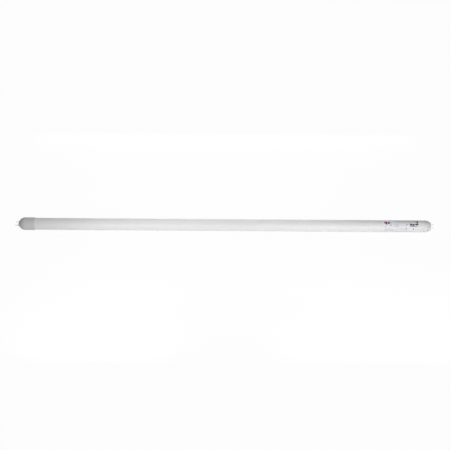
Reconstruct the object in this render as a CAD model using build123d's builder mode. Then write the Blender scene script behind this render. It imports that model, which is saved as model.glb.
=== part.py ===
"""A straight LED tube with a two-pin cap at each end. Millimetres.

The tube's axis is X, with the mains end at +X. The origin is on the axis, halfway between the
two cap faces. It lies as it comes to rest: the heavy LED strip is at the bottom, -Z, and the
pins stand side by side along Y.
"""

import os
from math import sqrt

from build123d import *

os.makedirs("parts", exist_ok=True)

# Driving dimensions of the lamp
face_to_face = 894.0
tube_diameter = 26.0
tube_wall = 0.8
tube_rim_radius = 0.3
pin_diameter = 2.35
pin_spacing = 12.7
pin_reach = 7.1
pin_tip_radius = 0.8

# End caps. A depth is measured from the face that the pins stand on, towards the lamp's middle.
cap_wall = 1.5
cap_face_wall = 2.0
land_radius = 2.6
land_height = 0.4
land_depth = 3.6
land_chamfer = 0.3
collar_radius = 2.1
collar_start = 0.5
collar_depth = 6.5
pin_tail_depth = 9.5
pin_shank_radius = 1.0
pin_head_radius = 1.8
pin_head_thickness = 0.6
pin_tail_radius = 0.8
pin_gap = 0.05
far_cap_diameter = 27.5
far_cap_length = 35.5
far_cap_edge = (0.4, 0.25)
far_nose_end = 13.8
far_nose_flat = 3.0
far_tube_stop = 14.0
sleeve_gap = 0.1
cement_inset = 4.0
cement_length = 12.0
input_cap_diameter = 26.2
input_cap_length = 16.8
input_nose_end = 14.5
input_nose_flat = 7.0
nose_ring_depth = 8.2
nose_ring_width = 0.7
nose_ring_cut = 0.5
plug_length = 11.0
plug_gap = 0.08
plug_wall = 1.2
plug_lead_in = (1.0, 0.5)
glue_groove_width = 6.0
glue_groove_depth = 0.5

# LED strip, glued along the bottom of the tube
strip_width = 11.0
strip_thickness = 1.0
strip_start = -425.0
strip_end = 340.0
led_count = 64
led_pitch = 11.7
led_size = (3.5, 2.8, 0.7)
led_window = (2.6, 2.1, 0.2)
first_led = -418.0
bead_width = 9.0
bead_inset = 3.0

# Driver board, behind the label
board_start = 345.0
board_end = 417.0
board_width = 19.0
board_thickness = 1.0
lead_radius = 0.6
leg_radius = 0.3
leg_bend = 0.8
chip_stand_off = 0.15
chip_bevel = 0.25
chip_foot = (0.5, 1.2, 0.3)

# Label, wrapped on the side that the picture shows
label_start = 344.6
label_length = 83.5
label_thickness = 0.12
label_middle_angle = 138.5
label_arc = 133.0
label_corner = 1.5

# Worked out from the above
face_x = face_to_face / 2
tube_radius = tube_diameter / 2
bore_radius = tube_radius - tube_wall
pin_radius = pin_diameter / 2
pin_hole_radius = pin_shank_radius + pin_gap
pin_y = pin_spacing / 2
far_radius = far_cap_diameter / 2
input_radius = input_cap_diameter / 2
tube_start = -(face_x - far_tube_stop)
tube_end = face_x - input_cap_length
strip_under = -sqrt(bore_radius**2 - (strip_width / 2) ** 2)
strip_top = strip_under + strip_thickness
board_under = -sqrt(bore_radius**2 - (board_width / 2) ** 2)
board_top = board_under + board_thickness


def end_plane(side, y=0.0):
    """A plane at one cap's face: its x runs outwards along the lamp's axis, its y runs up."""
    return Plane(origin=(side * face_x, y, 0), x_dir=(side, 0, 0), z_dir=(0, -side, 0))


def nose_point(outer_radius, nose_end, flat_radius, depth, wall=0.0):
    """A point of the nose's half section at this depth, this wall in from its outside.

    The outside is an arc from the edge of the nose's flat into the cylinder."""
    rise = outer_radius - flat_radius
    run = nose_end - land_height
    arc = (run**2 + rise**2) / (2 * rise)
    return (-depth, outer_radius - arc + sqrt((arc - wall) ** 2 - (nose_end - depth) ** 2))


def pin_circles(side, depth, radius):
    """A circle about each pin, in the plane at this depth below one cap's face."""
    with BuildSketch(Plane.YZ.offset(side * (face_x - depth))) as circles:
        with Locations((-pin_y, 0), (pin_y, 0)):
            Circle(radius)
    return circles.sketch


def pin_land(side):
    """The flat land that both pins stand on, in the plane of one cap's face."""
    with BuildSketch(Plane.YZ.offset(side * face_x)) as land:
        SlotCenterToCenter(pin_spacing, 2 * land_radius)
    return land.sketch


# Tube: opal glass, its rims fire-polished round
with BuildPart() as opal_tube:
    with BuildSketch(Plane.YZ.offset(tube_start)):
        Circle(tube_radius)
        Circle(bore_radius, mode=Mode.SUBTRACT)
    extrude(amount=tube_end - tube_start)
    fillet(opal_tube.edges().filter_by(GeomType.CIRCLE), radius=tube_rim_radius)

# Cap at the far end: a sleeve over the glass, with a step inside that stops the tube, and a
# domed nose. Each pin goes through the land and through a collar inside.
sleeve_bore = tube_radius + sleeve_gap
with BuildPart() as far_end_cap:
    with BuildSketch(end_plane(-1)):
        with BuildLine():
            Polyline((-far_cap_length, 0), (-land_height, 0), (-land_height, far_nose_flat))
            TangentArc(
                (-far_nose_end, far_radius), (-land_height, far_nose_flat), tangent=(1, 0)
            )
            Polyline(
                (-far_nose_end, far_radius),
                (-far_cap_length + far_cap_edge[0], far_radius),
                (-far_cap_length, far_radius - far_cap_edge[1]),
                (-far_cap_length, 0),
            )
        make_face()
    revolve(axis=Axis.X)
    extrude(pin_land(-1), amount=land_depth)
    chamfer(far_end_cap.faces().sort_by(Axis.X)[0].edges(), length=land_chamfer)
    with BuildSketch(end_plane(-1)):
        with BuildLine():
            foot = nose_point(far_radius, far_nose_end, far_nose_flat, cap_face_wall, cap_wall)
            Polyline(foot, (-cap_face_wall, 0), (-far_cap_length, 0), (-far_cap_length, sleeve_bore))
            Polyline(
                (-far_cap_length, sleeve_bore),
                (-far_tube_stop, sleeve_bore),
                (-far_tube_stop, far_radius - cap_wall),
                (-far_nose_end, far_radius - cap_wall),
            )
            TangentArc((-far_nose_end, far_radius - cap_wall), foot, tangent=(1, 0))
        make_face()
    revolve(axis=Axis.X, mode=Mode.SUBTRACT)
    extrude(pin_circles(-1, collar_start, collar_radius), amount=collar_depth - collar_start)
    extrude(pin_circles(-1, 0, pin_hole_radius), amount=collar_depth, mode=Mode.SUBTRACT)

# Cap at the mains end: a plug in the glass, grooved for its glue, with a blunter nose outside
# that a fine groove runs round
plug_radius = bore_radius - plug_gap
plug_tip = input_cap_length + plug_length
groove_start = input_cap_length + (plug_length - glue_groove_width) / 2
groove_end = groove_start + glue_groove_width
groove_radius = plug_radius - glue_groove_depth
with BuildPart() as input_end_cap:
    with BuildSketch(end_plane(1)):
        with BuildLine():
            Polyline((-plug_tip, 0), (-land_height, 0), (-land_height, input_nose_flat))
            TangentArc(
                (-input_nose_end, input_radius), (-land_height, input_nose_flat), tangent=(1, 0)
            )
            Polyline(
                (-input_nose_end, input_radius),
                (-input_cap_length, input_radius),
                (-input_cap_length, plug_radius),
                (-groove_start, plug_radius),
                (-groove_start, groove_radius),
                (-groove_end, groove_radius),
                (-groove_end, plug_radius),
                (-plug_tip + plug_lead_in[0], plug_radius),
                (-plug_tip, plug_radius - plug_lead_in[1]),
                (-plug_tip, 0),
            )
        make_face()
    revolve(axis=Axis.X)
    extrude(pin_land(1), amount=-land_depth)
    chamfer(input_end_cap.faces().sort_by(Axis.X)[-1].edges(), length=land_chamfer)
    with BuildSketch(end_plane(1)):
        with BuildLine():
            foot = nose_point(input_radius, input_nose_end, input_nose_flat, cap_face_wall, cap_wall)
            Polyline(foot, (-cap_face_wall, 0), (-plug_tip, 0), (-plug_tip, plug_radius - plug_wall))
            Polyline(
                (-plug_tip, plug_radius - plug_wall),
                (-input_cap_length, plug_radius - plug_wall),
                (-input_nose_end, input_radius - cap_wall),
            )
            TangentArc((-input_nose_end, input_radius - cap_wall), foot, tangent=(1, 0))
        make_face()
    revolve(axis=Axis.X, mode=Mode.SUBTRACT)
    with BuildSketch(end_plane(1)):
        with Locations(nose_point(input_radius, input_nose_end, input_nose_flat, nose_ring_depth)):
            Rectangle(nose_ring_width, 2 * nose_ring_cut)
    revolve(axis=Axis.X, mode=Mode.SUBTRACT)
    extrude(pin_circles(1, collar_start, collar_radius), amount=collar_start - collar_depth)
    extrude(pin_circles(1, 0, pin_hole_radius), amount=-collar_depth, mode=Mode.SUBTRACT)


def contact_pin(side, y):
    """A turned pin, seated on the cap's face: its shank goes through and is headed over behind."""
    head_depth = collar_depth + pin_head_thickness
    tip_start = pin_reach - pin_tip_radius
    with BuildPart() as pin:
        with BuildSketch(end_plane(side, y)):
            with BuildLine():
                Polyline(
                    (-pin_tail_depth, 0),
                    (-pin_tail_depth, pin_tail_radius),
                    (-head_depth, pin_tail_radius),
                    (-head_depth, pin_head_radius),
                    (-collar_depth, pin_head_radius),
                    (-collar_depth, pin_shank_radius),
                    (0, pin_shank_radius),
                    (0, pin_radius),
                    (tip_start, pin_radius),
                )
                tip = TangentArc(
                    (tip_start, pin_radius), (pin_reach, pin_radius - pin_tip_radius), tangent=(1, 0)
                )
                Polyline(tip @ 1, (pin_reach, 0), (-pin_tail_depth, 0))
            make_face()
        revolve(axis=Axis((side * face_x, y, 0), (1, 0, 0)))
    return pin


input_pin_front = contact_pin(1, -pin_y)
input_pin_rear = contact_pin(1, pin_y)
far_pin_front = contact_pin(-1, -pin_y)
far_pin_rear = contact_pin(-1, pin_y)


def glue_ring(start, length, inner, outer):
    with BuildPart() as ring:
        with BuildSketch(Plane.YZ.offset(start)):
            Circle(outer)
            Circle(inner, mode=Mode.SUBTRACT)
        extrude(amount=length)
    return ring


far_cap_glue = glue_ring(tube_start + cement_inset, cement_length, tube_radius, sleeve_bore)
input_cap_glue = glue_ring(face_x - groove_end, glue_groove_width, groove_radius, bore_radius)

# LED strip: an aluminium-cored board, the silicone bead under it, and the LEDs in a row on it
with BuildPart() as led_strip_board:
    with BuildSketch(Plane.XY.offset(strip_under)):
        with Locations(((strip_start + strip_end) / 2, 0)):
            Rectangle(strip_end - strip_start, strip_width)
    extrude(amount=strip_thickness)

with BuildPart() as strip_adhesive:
    with BuildSketch(Plane.YZ.offset(strip_start + bead_inset)):
        Circle(bore_radius)
        with Locations((0, (strip_under - bore_radius) / 2)):
            Rectangle(bead_width, bore_radius + strip_under, mode=Mode.INTERSECT)
    extrude(amount=strip_end - strip_start - 2 * bead_inset)

led_places = [(first_led + i * led_pitch, 0) for i in range(led_count)]
with BuildPart() as leds:
    with BuildSketch(Plane.XY.offset(strip_top)):
        with Locations(*led_places):
            Rectangle(led_size[0], led_size[1])
    extrude(amount=led_size[2])
    with BuildSketch(Plane.XY.offset(strip_top + led_size[2])):
        with Locations(*led_places):
            Rectangle(led_window[0], led_window[1])
    extrude(amount=-led_window[2], mode=Mode.SUBTRACT)

with BuildPart() as led_phosphors:
    with BuildSketch(Plane.XY.offset(strip_top + led_size[2] - led_window[2])):
        with Locations(*led_places):
            Rectangle(led_window[0], led_window[1])
    extrude(amount=led_window[2])

# Driver board, its long edges resting on the inside of the glass
with BuildPart() as driver_board:
    with BuildSketch(Plane.XY.offset(board_under)):
        with Locations(((board_start + board_end) / 2, 0)):
            Rectangle(board_end - board_start, board_width)
    extrude(amount=board_thickness)


def wire(points, radius, bend):
    """A round wire along straight runs joined by tangent arcs."""
    with BuildPart() as strand:
        with BuildLine() as route:
            FilletPolyline(*points, radius=bend)
        with BuildSketch(Plane(origin=route.line @ 0, z_dir=route.line % 0)):
            Circle(radius)
        sweep(path=route.line)
    return strand


def on_board(x, y, height=0.0):
    return Plane(origin=(x, y, board_top + height))


# Fusible resistor: a dipped body on two bent legs
fuse_x, fuse_y = 401.0, 6.0
fuse_length, fuse_radius, fuse_rounding = 8.0, 1.6, 0.9
fuse_leg_root, fuse_leg_reach = 3.0, 5.5
fuse_z = board_top + 2.2
fuse_legs = [
    wire(
        [
            (fuse_x + way * fuse_leg_root, fuse_y, fuse_z),
            (fuse_x + way * fuse_leg_reach, fuse_y, fuse_z),
            (fuse_x + way * fuse_leg_reach, fuse_y, board_top),
        ],
        leg_radius,
        leg_bend,
    )
    for way in (-1, 1)
]
with BuildPart() as fuse_resistor:
    with BuildSketch(Plane(origin=(fuse_x - fuse_length / 2, fuse_y, fuse_z), z_dir=(1, 0, 0))):
        Circle(fuse_radius)
    extrude(amount=fuse_length)
    fillet(fuse_resistor.edges().filter_by(GeomType.CIRCLE), radius=fuse_rounding)
    add([leg.part for leg in fuse_legs])

# Surge varistor: a coated disc that stands on two legs
varistor_x, varistor_y = 404.0, -5.5
varistor_radius, varistor_thickness, varistor_rounding = 3.75, 3.4, 1.2
varistor_leg_pitch, varistor_lift = 5.0, 1.5
varistor_back = (
    varistor_x,
    varistor_y + varistor_thickness / 2,
    board_top + varistor_lift + varistor_radius,
)
with BuildPart() as surge_varistor:
    with BuildSketch(Plane(origin=varistor_back, z_dir=(0, -1, 0))):
        Circle(varistor_radius)
    extrude(amount=varistor_thickness)
    fillet(surge_varistor.edges().filter_by(GeomType.CIRCLE), radius=varistor_rounding)
    with BuildSketch(on_board(varistor_x, varistor_y)):
        with GridLocations(varistor_leg_pitch, 0, 2, 1):
            Circle(leg_radius)
    extrude(amount=varistor_radius)


def chip(x, y, size, leg_pitch, legs_a_side):
    """A moulded chip: bevelled body over the board, with flat feet along its two long sides."""
    length, width, height = size
    with BuildPart() as package:
        with BuildSketch(on_board(x, y, chip_stand_off)):
            Rectangle(length, width)
        extrude(amount=height)
        chamfer(package.faces().sort_by(Axis.Z)[-1].edges(), length=chip_bevel)
        with BuildSketch(on_board(x, y)):
            with GridLocations(leg_pitch, width + chip_foot[1] / 2, legs_a_side, 2):
                Rectangle(chip_foot[0], chip_foot[1])
        extrude(amount=chip_foot[2])
    return package


bridge_rectifier = chip(393.0, -5.0, (4.7, 3.8, 1.6), 2.5, 2)
driver_chip = chip(373.0, -5.5, (4.9, 3.9, 1.5), 1.27, 4)

# Film capacitor: a moulded box with rounded corners
film_length, film_width, film_height = 9.6, 4.5, 9.0
film_corner, film_top_edge = 0.6, 0.4
with BuildPart() as film_capacitor:
    with BuildSketch(on_board(384.0, -5.8)):
        RectangleRounded(film_length, film_width, film_corner)
    extrude(amount=film_height)
    fillet(film_capacitor.faces().sort_by(Axis.Z)[-1].edges(), radius=film_top_edge)

can_shoulder = 0.4
can_neck = 1.9
can_neck_cut = 0.5
can_leg_root, can_leg_reach = 1.0, 2.2


def can_capacitor(x, y, radius, length, leg_pitch):
    """An electrolytic can lying along X, its rubber end with a rolled neck and two bent legs."""
    height = board_top + radius
    bend_x = x - can_leg_reach
    legs = [
        wire(
            [(x + can_leg_root, leg_y, height), (bend_x, leg_y, height), (bend_x, leg_y, board_top)],
            leg_radius,
            leg_bend,
        )
        for leg_y in (y - leg_pitch / 2, y + leg_pitch / 2)
    ]
    with BuildPart() as can:
        with BuildSketch(Plane(origin=(x, y, height), x_dir=(1, 0, 0), z_dir=(0, -1, 0))):
            with BuildLine():
                Polyline(
                    (0, 0),
                    (0, radius - can_shoulder),
                    (can_shoulder, radius),
                    (can_neck - can_neck_cut, radius),
                    (can_neck, radius - can_neck_cut),
                    (can_neck + can_neck_cut, radius),
                    (length - can_shoulder, radius),
                    (length, radius - can_shoulder),
                    (length, 0),
                    (0, 0),
                )
            make_face()
        revolve(axis=Axis((x, y, height), (1, 0, 0)))
        add([leg.part for leg in legs])
    return can


input_capacitor = can_capacitor(379.5, 4.6, 4.0, 13.0, 3.5)
output_capacitor = can_capacitor(349.5, 4.2, 3.15, 11.0, 2.5)

# Power inductor: a ferrite drum with its winding between two flanges
inductor_x, inductor_y, inductor_height = 367.0, 3.4, 10.0
drum_radius, winding_radius, flange_height = 4.5, 3.9, 1.4
inductor_foot = (inductor_x, inductor_y, board_top)
with BuildPart() as power_inductor:
    with BuildSketch(Plane(origin=inductor_foot, x_dir=(1, 0, 0), z_dir=(0, -1, 0))):
        with BuildLine():
            Polyline(
                (0, 0),
                (drum_radius, 0),
                (drum_radius, flange_height),
                (winding_radius, flange_height),
                (winding_radius, inductor_height - flange_height),
                (drum_radius, inductor_height - flange_height),
                (drum_radius, inductor_height),
                (0, inductor_height),
                (0, 0),
            )
        make_face()
    revolve(axis=Axis(inductor_foot, (0, 0, 1)))

# Chip resistors, in two rows
with BuildPart() as chip_resistors:
    with BuildSketch(on_board(356.5, -5.2)):
        with GridLocations(4.0, 3.2, 4, 2):
            Rectangle(2.0, 1.25)
    extrude(amount=0.55)

# Leads: from the mains pins to the driver board, and from its other end to the LED strip
input_lead_run, input_lead_drop, input_lead_inset, input_lead_bend = 12.0, 1.5, 3.0, 2.2
output_lead_rise, output_lead_bend, output_lead_y = 2.4, 1.5, 1.8
board_pad_inset, strip_pad_inset = 2.5, 3.0


def input_lead(y):
    """From a pin's tail, back along the cap and down onto the driver board."""
    pin_end = face_x - pin_tail_depth
    pad_x = board_end - input_lead_inset
    pad_y = 0.9 * y
    return wire(
        [
            (pin_end, y, 0),
            (pin_end - input_lead_run, y, 0),
            (pad_x, pad_y, -input_lead_drop),
            (pad_x, pad_y, board_top),
        ],
        lead_radius,
        input_lead_bend,
    )


def output_lead(y):
    """From the driver board, over the gap, down onto the end of the LED strip."""
    board_pad = board_start + board_pad_inset
    strip_pad = strip_end - strip_pad_inset
    rise = board_top + output_lead_rise
    return wire(
        [
            (board_pad, y, board_top),
            (board_pad, y, rise),
            (strip_pad, y, rise),
            (strip_pad, y, strip_top),
        ],
        lead_radius,
        output_lead_bend,
    )


input_lead_front = input_lead(-pin_y)
input_lead_rear = input_lead(pin_y)
output_lead_front = output_lead(-output_lead_y)
output_lead_rear = output_lead(output_lead_y)

# The far pins carry no mains: a loop of wire joins them
link_start = pin_tail_depth - face_x
link_end = link_start + 7.0
link_bend = 4.0
far_pin_link = wire(
    [(link_start, pin_y, 0), (link_end, pin_y, 0), (link_end, -pin_y, 0), (link_start, -pin_y, 0)],
    lead_radius,
    link_bend,
)

# Rating label: one thin film on the outside of the glass, over the driver
with BuildPart() as rating_label:
    label_from = label_middle_angle - label_arc / 2
    label_outer = tube_radius + label_thickness
    with BuildSketch(Plane.YZ.offset(label_start)):
        with BuildLine():
            inner_edge = CenterArc((0, 0), tube_radius, label_from, label_arc)
            outer_edge = CenterArc((0, 0), label_outer, label_from, label_arc)
            Line(inner_edge @ 0, outer_edge @ 0)
            Line(inner_edge @ 1, outer_edge @ 1)
        make_face()
    extrude(amount=label_length)
    corners = rating_label.edges().filter_by(lambda edge: edge.length < 2 * label_thickness)
    fillet(corners, radius=label_corner)

pieces = {
    "opal_tube": opal_tube,
    "far_end_cap": far_end_cap,
    "input_end_cap": input_end_cap,
    "far_cap_glue": far_cap_glue,
    "input_cap_glue": input_cap_glue,
    "input_pin_front": input_pin_front,
    "input_pin_rear": input_pin_rear,
    "far_pin_front": far_pin_front,
    "far_pin_rear": far_pin_rear,
    "far_pin_link": far_pin_link,
    "led_strip_board": led_strip_board,
    "strip_adhesive": strip_adhesive,
    "leds": leds,
    "led_phosphors": led_phosphors,
    "driver_board": driver_board,
    "fuse_resistor": fuse_resistor,
    "surge_varistor": surge_varistor,
    "bridge_rectifier": bridge_rectifier,
    "film_capacitor": film_capacitor,
    "input_capacitor": input_capacitor,
    "driver_chip": driver_chip,
    "power_inductor": power_inductor,
    "output_capacitor": output_capacitor,
    "chip_resistors": chip_resistors,
    "input_lead_front": input_lead_front,
    "input_lead_rear": input_lead_rear,
    "output_lead_front": output_lead_front,
    "output_lead_rear": output_lead_rear,
    "rating_label": rating_label,
}
for name, piece in pieces.items():
    piece.part.label = name
    export_step(piece.part, f"parts/{name}.step")
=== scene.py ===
"""Finishes, a finer tube mesh, label print with painted shade on its upper part, floor, light and
camera for a straight LED tube.
"""

import math
import random

import bmesh
import bpy
from mathutils import Matrix, Vector


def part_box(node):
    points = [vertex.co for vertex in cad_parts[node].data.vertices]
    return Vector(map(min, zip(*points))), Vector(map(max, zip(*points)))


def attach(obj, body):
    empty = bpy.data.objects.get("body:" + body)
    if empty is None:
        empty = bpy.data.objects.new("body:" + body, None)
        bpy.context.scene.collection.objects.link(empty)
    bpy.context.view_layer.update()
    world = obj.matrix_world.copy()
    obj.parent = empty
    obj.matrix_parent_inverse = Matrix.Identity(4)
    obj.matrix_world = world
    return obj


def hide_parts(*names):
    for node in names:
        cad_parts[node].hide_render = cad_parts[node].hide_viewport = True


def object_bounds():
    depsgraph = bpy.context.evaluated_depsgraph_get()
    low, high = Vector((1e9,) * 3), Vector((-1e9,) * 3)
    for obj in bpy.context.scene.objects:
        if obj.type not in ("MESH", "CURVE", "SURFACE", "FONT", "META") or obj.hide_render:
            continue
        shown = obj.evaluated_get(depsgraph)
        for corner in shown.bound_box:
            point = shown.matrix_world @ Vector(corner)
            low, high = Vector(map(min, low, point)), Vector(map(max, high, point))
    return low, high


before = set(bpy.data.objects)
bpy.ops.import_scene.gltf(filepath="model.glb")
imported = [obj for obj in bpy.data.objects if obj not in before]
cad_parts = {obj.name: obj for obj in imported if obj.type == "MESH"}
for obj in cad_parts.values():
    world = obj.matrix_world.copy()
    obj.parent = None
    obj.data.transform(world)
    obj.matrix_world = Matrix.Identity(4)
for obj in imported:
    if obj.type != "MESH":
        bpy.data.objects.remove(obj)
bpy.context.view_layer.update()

MM = 0.001

# The glass tube and the label, in millimetres, with the label's middle in degrees above the front
TUBE_RADIUS = 13.0
BORE_RADIUS = 12.2
RIM_RADIUS = 0.3
LABEL_RADIUS = 13.12
LABEL_START = 344.6
LABEL_MIDDLE = 41.5

# How the new meshes are made, with lengths in millimetres
TUBE_SEGMENTS = 128
CORNER_STEPS = 5
PRINT_THICKNESS = 0.015
STRIP_WIDTH = 0.75
STRIPS_REACH = 15.0
MERGE_DISTANCE = 0.002
SHARP_ANGLE = math.radians(60)
BAR_CORNER = 0.15
BAR_CORNER_STEPS = 2
PRINT_SEED = 7

# Socket numbers of a Mix node that mixes colours
MIX_FACTOR = 0
MIX_FIRST = 6
MIX_SECOND = 7
MIX_RESULT = 2

# Traits that finishes share, the last for inks alone
NOISE_LOW = 0.3
NOISE_HIGH = 0.7
BLOTCH_DETAIL = 4
FINE_DETAIL = 3
GLOSS_TO_BLOTCH = 5
BUMP_STRENGTH = 0.5
INK_ROUGHNESS = (0.4, 0.55)

# Floor, its size in metres, and surroundings
FLOOR_SIZE = 30.0
FLOOR_TONE = 0.92
FLOOR_WHITE_SHARE = 0.97
SKY_STRENGTH = 0.22

# Camera, with lengths in metres but for its sensor
ELEVATION = math.radians(35.0)
ROLL = math.radians(0.4)
DISTANCE = 3.0
VIEW_WIDTH = 0.9768
VIEW_CENTRE = Vector((0.0003, 0, 0))
SENSOR_MM = 36.0


# Materials


def emptied_tree(owner):
    """The node tree of a new material or world, with no nodes in it."""
    owner.use_nodes = True
    owner.node_tree.nodes.clear()
    return owner.node_tree


def noise(tree, scale, detail, stretch):
    """Noise in the row frame, its scale in features a metre, stretched along the axes."""
    place = tree.nodes.new("ShaderNodeTexCoord")
    mapping = tree.nodes.new("ShaderNodeMapping")
    mapping.inputs["Scale"].default_value = stretch
    texture = tree.nodes.new("ShaderNodeTexNoise")
    texture.inputs["Scale"].default_value = scale
    texture.inputs["Detail"].default_value = detail
    tree.links.new(place.outputs["Object"], mapping.inputs["Vector"])
    tree.links.new(mapping.outputs["Vector"], texture.inputs["Vector"])
    return texture.outputs["Fac"]


def spread(tree, value, low, high):
    """Spreads a noise value, which keeps near its middle, between two numbers."""
    ramp = tree.nodes.new("ShaderNodeMapRange")
    ramp.inputs["From Min"].default_value = NOISE_LOW
    ramp.inputs["From Max"].default_value = NOISE_HIGH
    ramp.inputs["To Min"].default_value = low
    ramp.inputs["To Max"].default_value = high
    tree.links.new(value, ramp.inputs["Value"])
    return ramp.outputs["Result"]


def finish(
    name, tones, roughness, blotch, grain=2500.0, depth=0.01, stretch=(1, 1, 1), **sockets
):
    """A surface whose colour drifts between two tones, with uneven gloss and a fine grain.

    blotch and grain are noise scales, depth is the grain's height in millimetres, and sockets
    are the shader's own, by name."""
    material = bpy.data.materials.new(name)
    tree = emptied_tree(material)
    output = tree.nodes.new("ShaderNodeOutputMaterial")
    shader = tree.nodes.new("ShaderNodeBsdfPrincipled")
    tree.links.new(shader.outputs["BSDF"], output.inputs["Surface"])
    mix = tree.nodes.new("ShaderNodeMix")
    mix.data_type = "RGBA"
    for socket, tone in zip((MIX_FIRST, MIX_SECOND), tones):
        mix.inputs[socket].default_value = (*tone, 1)
    patches = noise(tree, blotch, BLOTCH_DETAIL, stretch)
    tree.links.new(spread(tree, patches, 0, 1), mix.inputs[MIX_FACTOR])
    tree.links.new(mix.outputs[MIX_RESULT], shader.inputs["Base Color"])
    uneven = noise(tree, blotch * GLOSS_TO_BLOTCH, FINE_DETAIL, stretch)
    tree.links.new(spread(tree, uneven, *roughness), shader.inputs["Roughness"])
    bump = tree.nodes.new("ShaderNodeBump")
    bump.inputs["Strength"].default_value = BUMP_STRENGTH
    bump.inputs["Distance"].default_value = depth * MM
    tree.links.new(noise(tree, grain, FINE_DETAIL, stretch), bump.inputs["Height"])
    tree.links.new(bump.outputs["Normal"], shader.inputs["Normal"])
    for socket, value in sockets.items():
        shader.inputs[socket.replace("_", " ")].default_value = value
    return material


def ink(name, *tones, blotch=700.0):
    """The finish of a field of print; the pale and light grey ones also colour painted shade over
    the label's upper part.
    """
    return finish(name, tones, INK_ROUGHNESS, blotch)


opal = finish(
    "opal_surface",
    ((0.838, 0.834, 0.834), (0.862, 0.858, 0.858)),
    (0.38, 0.46),
    9.0,
    depth=0.004,
    Specular_IOR_Level=0.4,
)
grey_plastic = finish(
    "grey_plastic",
    ((0.67, 0.668, 0.677), (0.71, 0.708, 0.717)),
    (0.5, 0.62),
    60.0,
    Specular_IOR_Level=0.15,
)
white_plastic = finish(
    "white_plastic",
    ((0.79, 0.787, 0.80), (0.84, 0.837, 0.85)),
    (0.45, 0.57),
    60.0,
    Specular_IOR_Level=0.3,
)
nickel = finish(
    "nickel_plate",
    ((0.60, 0.585, 0.55), (0.72, 0.70, 0.66)),
    (0.22, 0.38),
    300.0,
    grain=9000.0,
    depth=0.004,
    stretch=(0.15, 1, 1),
    Metallic=1.0,
)
film = finish(
    "label_film",
    ((0.83, 0.824, 0.852), (0.86, 0.854, 0.878)),
    (0.36, 0.46),
    90.0,
    depth=0.006,
    Specular_IOR_Level=0.25,
)
cement = finish(
    "cap_cement",
    ((0.78, 0.76, 0.70), (0.86, 0.85, 0.80)),
    (0.5, 0.7),
    300.0,
    grain=1500.0,
    depth=0.08,
)
silicone = finish(
    "strip_silicone",
    ((0.80, 0.80, 0.78), (0.88, 0.88, 0.86)),
    (0.45, 0.6),
    120.0,
    grain=900.0,
    depth=0.06,
)
solder_resist = finish(
    "white_resist", ((0.84, 0.85, 0.85), (0.90, 0.90, 0.90)), (0.35, 0.5), 80.0
)
led_plastic = finish("led_housing", ((0.86, 0.85, 0.82), (0.92, 0.91, 0.89)), (0.3, 0.45), 500.0)
phosphor = finish("led_phosphor", ((0.80, 0.66, 0.16), (0.90, 0.76, 0.26)), (0.35, 0.5), 900.0)
laminate = finish(
    "green_resist",
    ((0.03, 0.16, 0.07), (0.05, 0.24, 0.11)),
    (0.28, 0.4),
    220.0,
    grain=4000.0,
    depth=0.02,
)
epoxy_black = finish(
    "black_epoxy", ((0.02, 0.02, 0.022), (0.045, 0.045, 0.05)), (0.45, 0.65), 600.0, grain=9000.0
)
resistor_coat = finish(
    "resistor_coat", ((0.10, 0.20, 0.12), (0.16, 0.28, 0.17)), (0.25, 0.4), 400.0
)
varistor_coat = finish(
    "varistor_coat", ((0.02, 0.09, 0.34), (0.04, 0.14, 0.45)), (0.22, 0.36), 350.0
)
capacitor_box = finish(
    "capacitor_box", ((0.42, 0.05, 0.03), (0.55, 0.08, 0.05)), (0.25, 0.4), 260.0
)
can_sleeve = finish("can_sleeve", ((0.03, 0.035, 0.05), (0.06, 0.065, 0.085)), (0.25, 0.4), 300.0)
ferrite = finish(
    "wound_ferrite",
    ((0.10, 0.05, 0.03), (0.24, 0.11, 0.05)),
    (0.35, 0.6),
    150.0,
    grain=1500.0,
    depth=0.1,
    stretch=(0.1, 0.1, 6),
)
thick_film = finish("thick_film", ((0.025, 0.025, 0.03), (0.06, 0.06, 0.07)), (0.3, 0.5), 900.0)
lead_white = finish("lead_white", ((0.74, 0.74, 0.72), (0.82, 0.82, 0.80)), (0.35, 0.5), 200.0)
lead_red = finish("lead_red", ((0.42, 0.02, 0.02), (0.54, 0.04, 0.03)), (0.35, 0.5), 200.0)
lead_black = finish("lead_black", ((0.015, 0.015, 0.017), (0.04, 0.04, 0.042)), (0.35, 0.5), 200.0)
ink_black = ink("ink_black", (0.012, 0.012, 0.015), (0.04, 0.04, 0.045))
ink_grey = ink("ink_grey", (0.34, 0.34, 0.37), (0.46, 0.46, 0.49))
ink_dark_grey = ink("ink_dark_grey", (0.14, 0.14, 0.16), (0.24, 0.24, 0.26))
# The light grey and pale inks also colour painted shade along the label's upper part
light_grey_ink_and_painted_shade = ink("light_grey_ink_and_painted_shade", (0.65, 0.65, 0.68), (0.70, 0.70, 0.73), blotch=400.0)
pale_ink_and_painted_shade = ink("pale_ink_and_painted_shade", (0.70, 0.70, 0.72), (0.74, 0.74, 0.76), blotch=300.0)
ink_crimson = ink("ink_crimson", (0.36, 0.07, 0.12), (0.46, 0.11, 0.17))
ink_maroon = ink("ink_maroon", (0.10, 0.03, 0.05), (0.15, 0.05, 0.075))
ink_navy = ink("ink_navy", (0.06, 0.055, 0.13), (0.10, 0.09, 0.18))
ink_blue = ink("ink_blue", (0.54, 0.58, 0.82), (0.62, 0.66, 0.88))

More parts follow.
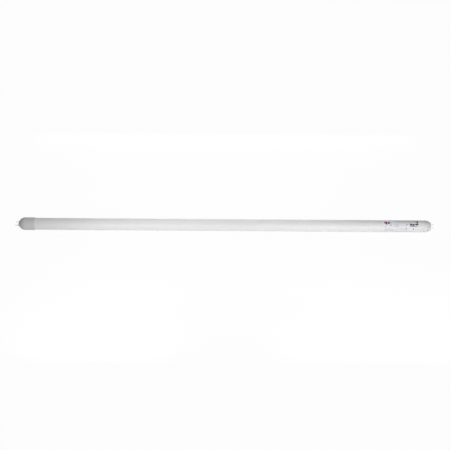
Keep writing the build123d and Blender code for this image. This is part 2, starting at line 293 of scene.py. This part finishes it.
NODE_FINISHES = {
    "far_end_cap": grey_plastic,
    "input_end_cap": white_plastic,
    "far_cap_glue": cement,
    "input_cap_glue": cement,
    "input_pin_front": nickel,
    "input_pin_rear": nickel,
    "far_pin_front": nickel,
    "far_pin_rear": nickel,
    "far_pin_link": lead_white,
    "led_strip_board": solder_resist,
    "strip_adhesive": silicone,
    "leds": led_plastic,
    "led_phosphors": phosphor,
    "driver_board": laminate,
    "fuse_resistor": resistor_coat,
    "surge_varistor": varistor_coat,
    "bridge_rectifier": epoxy_black,
    "film_capacitor": capacitor_box,
    "input_capacitor": can_sleeve,
    "driver_chip": epoxy_black,
    "power_inductor": ferrite,
    "output_capacitor": can_sleeve,
    "chip_resistors": thick_film,
    "input_lead_front": lead_white,
    "input_lead_rear": lead_white,
    "output_lead_front": lead_black,
    "output_lead_rear": lead_red,
    "rating_label": film,
    "opal_tube": opal,
}
for node, material in NODE_FINISHES.items():
    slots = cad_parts[node].data.materials
    slots.clear()
    slots.append(material)


# Outlines, in millimetres


def rounded(x0, x1, y0, y1, corner=0.0, steps=CORNER_STEPS):
    """Corner points of a rectangle, anticlockwise, with rounded corners if asked."""
    if not corner:
        return [(x0, y0), (x1, y0), (x1, y1), (x0, y1)]
    centres = (
        (x1 - corner, y0 + corner, 270),
        (x1 - corner, y1 - corner, 0),
        (x0 + corner, y1 - corner, 90),
        (x0 + corner, y0 + corner, 180),
    )
    return [
        (
            x + corner * math.cos(math.radians(first + 90 * i / steps)),
            y + corner * math.sin(math.radians(first + 90 * i / steps)),
        )
        for x, y, first in centres
        for i in range(steps + 1)
    ]


def border(x0, x1, y0, y1, corner, line):
    """Quads that trace a rounded rectangle with a line of this width."""
    outer = rounded(x0, x1, y0, y1, corner)
    inner = rounded(x0 + line, x1 - line, y0 + line, y1 - line, corner - line)
    count = len(outer)
    return [
        [outer[i], outer[(i + 1) % count], inner[(i + 1) % count], inner[i]] for i in range(count)
    ]


def bar_row(chance, x0, x1, y, height, shortest, longest, gap):
    """Bars of uneven length along one line."""
    bars = []
    x = x0
    while x < x1 - shortest / 2:
        length = min(chance.uniform(shortest, longest), x1 - x)
        bars.append(
            rounded(x, x + length, y - height / 2, y + height / 2, BAR_CORNER, BAR_CORNER_STEPS)
        )
        x += length + gap
    return bars


# Pieces


def add_piece(name, mesh, material):
    """Turns a bmesh in millimetres into an object that rides on the lamp."""
    bmesh.ops.scale(mesh, vec=(MM, MM, MM), verts=mesh.verts)
    for face in mesh.faces:
        face.smooth = True
    data = bpy.data.meshes.new(name)
    mesh.to_mesh(data)
    mesh.free()
    data.materials.append(material)
    piece = bpy.data.objects.new(name, data)
    bpy.context.scene.collection.objects.link(piece)
    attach(piece, "root")
    return piece


def lathe(outline, segments):
    """A closed outline of (x, radius) points turned about the lamp's axis."""
    mesh = bmesh.new()
    rings = []
    for i in range(segments):
        angle = math.tau * i / segments
        across, up = math.cos(angle), math.sin(angle)
        rings.append([mesh.verts.new((x, r * across, r * up)) for x, r in outline])
    for ring, next_ring in zip(rings, rings[1:] + rings[:1]):
        for i in range(len(outline)):
            j = (i + 1) % len(outline)
            mesh.faces.new((ring[i], ring[j], next_ring[j], next_ring[i]))
    bmesh.ops.recalc_face_normals(mesh, faces=mesh.faces)
    return mesh


def print_shapes(name, shapes, material, layer=1):
    """Cuts flat shapes into narrow strips and wraps them round the label, as thin closed layers.

    A shape's points are x along the lamp, and y up round the tube from the label's middle.
    Layer 1 lies on the label, and layer 2 over that."""
    mesh = bmesh.new()
    for shape in shapes:
        mesh.faces.new([mesh.verts.new((x, y, 0)) for x, y in shape])
    height = -STRIPS_REACH
    while height < STRIPS_REACH:
        geometry = mesh.verts[:] + mesh.edges[:] + mesh.faces[:]
        bmesh.ops.bisect_plane(mesh, geom=geometry, plane_co=(0, height, 0), plane_no=(0, 1, 0))
        height += STRIP_WIDTH
    bmesh.ops.remove_doubles(mesh, verts=mesh.verts, dist=MERGE_DISTANCE)
    radius = LABEL_RADIUS + PRINT_THICKNESS * layer
    for vertex in mesh.verts:
        elevation = math.radians(LABEL_MIDDLE) + vertex.co.y / radius
        vertex.co = (vertex.co.x, -radius * math.cos(elevation), radius * math.sin(elevation))
    mesh.normal_update()
    for face in mesh.faces:
        middle = face.calc_center_median()
        if face.normal.dot(Vector((0, middle.y, middle.z))) < 0:
            face.normal_flip()
    bmesh.ops.solidify(mesh, geom=mesh.faces[:], thickness=PRINT_THICKNESS)
    bmesh.ops.recalc_face_normals(mesh, faces=mesh.faces)
    for edge in mesh.edges:
        edge.smooth = edge.calc_face_angle(0.0) < SHARP_ANGLE
    piece = add_piece(name, mesh, material)


low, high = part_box("opal_tube")
wall = rounded(low.x / MM, high.x / MM, BORE_RADIUS, TUBE_RADIUS, RIM_RADIUS)
tube = add_piece("opal_tube_fine", lathe(wall, TUBE_SEGMENTS), opal)
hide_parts("opal_tube")

print_shapes(
    "print_band_and_painted_shade",
    [
        rounded(LABEL_START + 0.8, 366.6, -14.6, -7.2, 0.8),
        rounded(367.0, 391.0, -9.2, -7.2),
        rounded(367.0, 391.0, -14.6, -12.6),
        # Painted shade: a pale field over the label's upper part, darker where the tube's top
        # turns away from the light
        rounded(369.7, 386.8, 6.4, 14.6, 0.8),
        rounded(366.0, 376.0, -3.4, 2.8, 1.6),
    ],
    pale_ink_and_painted_shade,
)
print_shapes(
    "print_light_grey_and_painted_shade",
    [
        rounded(350.4, 352.2, 0.0, 1.4, 0.3),
        rounded(355.2, 357.0, -5.4, -4.2, 0.3),
        rounded(359.4, 361.0, -5.4, -4.2, 0.3),
        rounded(362.5, 365.0, -2.6, -1.4, 0.5),
        # Painted shade: a light grey field over the label's upper part, darker where the tube's
        # top turns away from the light
        rounded(387.0, 418.2, 6.4, 14.6, 0.8),
    ],
    light_grey_ink_and_painted_shade,
)
print_shapes("print_crimson", [rounded(344.7, 348.9, 4.2, 9.4, 1.4)], ink_crimson)
print_shapes("print_maroon", [rounded(348.0, 351.4, 1.9, 8.8, 1.6)], ink_maroon, layer=2)
print_shapes("print_navy", [rounded(352.6, 356.6, 3.6, 8.8, 1.4)], ink_navy)
print_shapes("print_blue", [rounded(356.9, 360.2, 3.4, 9.0, 1.0)], ink_blue)

# Only the left end of this border is drawn
BORDER_CUT = 396.0
border_end = [
    quad
    for quad in border(391.4, 424.5, -14.4, 3.0, 3.4, 0.7)
    if max(x for x, y in quad) < BORDER_CUT
]
print_shapes(
    "print_grey",
    [
        rounded(346.2, 348.2, -4.2, -2.6, 0.3),
        rounded(356.9, 361.0, -0.2, 1.6, 0.3),
        rounded(392.2, 394.0, -8.6, -6.4, 0.4),
        rounded(392.9, 394.4, -12.6, -11.4, 0.3),
        rounded(411.4, 413.2, -8.0, -6.8, 0.3),
        rounded(411.8, 413.6, 7.4, 10.8, 0.5),
    ]
    + border_end,
    ink_grey,
    layer=2,
)
seeded = random.Random(PRINT_SEED)
print_shapes(
    "print_dark_grey",
    bar_row(seeded, 400.6, 416.4, -1.3, 2.8, 0.9, 2.0, 0.5)
    + [
        rounded(394.6, 396.2, 1.2, 2.8, 0.4),
        rounded(406.6, 408.4, -9.4, -5.6, 0.4),
    ],
    ink_dark_grey,
)
print_shapes(
    "print_black",
    bar_row(seeded, 404.5, 406.4, 2.5, 3.0, 0.8, 1.2, 0.2)
    + bar_row(seeded, 406.6, 410.4, 1.7, 4.4, 1.2, 2.0, 0.25)
    + bar_row(seeded, 410.8, 412.6, 2.7, 2.8, 0.8, 1.2, 0.2)
    + [
        rounded(399.9, 404.2, 0.4, 4.2, 0.4),
        rounded(412.9, 418.2, 1.1, 4.7, 0.4),
        rounded(414.5, 418.1, 5.8, 10.6, 1.4),
    ],
    ink_black,
    layer=2,
)


# Floor, light and camera


def white_for_camera(tree, dim, output, share=1.0):
    """Shows white to the camera and in gloss and glass, and the dim shader to everything else."""
    nodes, links = tree.nodes, tree.links
    path = nodes.new("ShaderNodeLightPath")
    seen = path.outputs["Is Camera Ray"]
    for ray in ("Is Glossy Ray", "Is Transmission Ray"):
        either = nodes.new("ShaderNodeMath")
        either.operation = "MAXIMUM"
        links.new(seen, either.inputs[0])
        links.new(path.outputs[ray], either.inputs[1])
        seen = either.outputs[0]
    part = nodes.new("ShaderNodeMath")
    part.operation = "MULTIPLY"
    part.inputs[1].default_value = share
    links.new(seen, part.inputs[0])
    white = nodes.new("ShaderNodeEmission")
    mix = nodes.new("ShaderNodeMixShader")
    links.new(part.outputs[0], mix.inputs[0])
    links.new(dim, mix.inputs[1])
    links.new(white.outputs["Emission"], mix.inputs[2])
    links.new(mix.outputs["Shader"], output)


def softbox(name, place, target, size, power):
    """A lamp at place that faces target, of this width and height in metres and power in watts."""
    light = bpy.data.lights.new(name, "AREA")
    light.shape = "RECTANGLE"
    light.size, light.size_y = size
    light.energy = power
    lamp = bpy.data.objects.new(name, light)
    away = Vector(place) - Vector(target)
    turn = away.to_track_quat("Z", "Y").to_matrix().to_4x4()
    lamp.matrix_world = Matrix.Translation(place) @ turn
    lamp.visible_camera = False
    bpy.context.scene.collection.objects.link(lamp)


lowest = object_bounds()[0][2]
bpy.ops.mesh.primitive_plane_add(size=FLOOR_SIZE, location=(0, 0, lowest))
floor = bpy.context.object
floor.name = "floor"
paper = bpy.data.materials.new("floor_paper")
paper_tree = emptied_tree(paper)
matte = paper_tree.nodes.new("ShaderNodeBsdfDiffuse")
matte.inputs["Color"].default_value = (FLOOR_TONE, FLOOR_TONE, FLOOR_TONE, 1)
paper_output = paper_tree.nodes.new("ShaderNodeOutputMaterial")
white_for_camera(
    paper_tree, matte.outputs["BSDF"], paper_output.inputs["Surface"], FLOOR_WHITE_SHARE
)
floor.data.materials.append(paper)

world = bpy.data.worlds.new("studio")
bpy.context.scene.world = world
world_tree = emptied_tree(world)
sky = world_tree.nodes.new("ShaderNodeBackground")
sky.inputs["Color"].default_value = (1, 1, 1, 1)
sky.inputs["Strength"].default_value = SKY_STRENGTH
world_output = world_tree.nodes.new("ShaderNodeOutputWorld")
white_for_camera(world_tree, sky.outputs["Background"], world_output.inputs["Surface"])

softbox("front_left", (-0.25, -0.42, 0.10), (-0.25, 0, 0), (0.25, 0.16), 0.70)
softbox("front_right", (0.40, -0.42, 0.10), (0.40, 0, 0), (0.55, 0.16), 1.13)
softbox("front_strip", (0.0, -0.24, 0.06), (0.0, 0, 0), (0.60, 0.10), 0.08)
softbox("top_left", (-0.20, 0, 0.45), (-0.20, 0, 0), (0.25, 0.16), 0.21)
softbox("top_strip", (-0.02, 0.05, 0.30), (-0.02, 0, 0), (0.60, 0.10), 0.215)
softbox("back_strip", (-0.02, 0.20, 0.18), (-0.02, 0, 0), (0.60, 0.10), 0.27)
softbox("back_low", (0.0, 0.40, 0.05), (0.0, 0, 0), (0.90, 0.10), 0.60)
softbox("right_end", (0.80, -0.10, 0.15), (0.45, 0, 0), (0.20, 0.16), 0.10)

camera_data = bpy.data.cameras.new("camera")
camera_data.sensor_width = SENSOR_MM
camera_data.lens = SENSOR_MM * DISTANCE / VIEW_WIDTH
camera = bpy.data.objects.new("camera", camera_data)
bpy.context.scene.collection.objects.link(camera)
toward = Vector((0, -math.cos(ELEVATION), math.sin(ELEVATION)))
turn = toward.to_track_quat("Z", "Y").to_matrix().to_4x4()
roll = Matrix.Rotation(ROLL, 4, "Z")
camera.matrix_world = Matrix.Translation(VIEW_CENTRE + toward * DISTANCE) @ turn @ roll
bpy.context.scene.camera = camera
bpy.context.scene.view_settings.view_transform = "Standard"
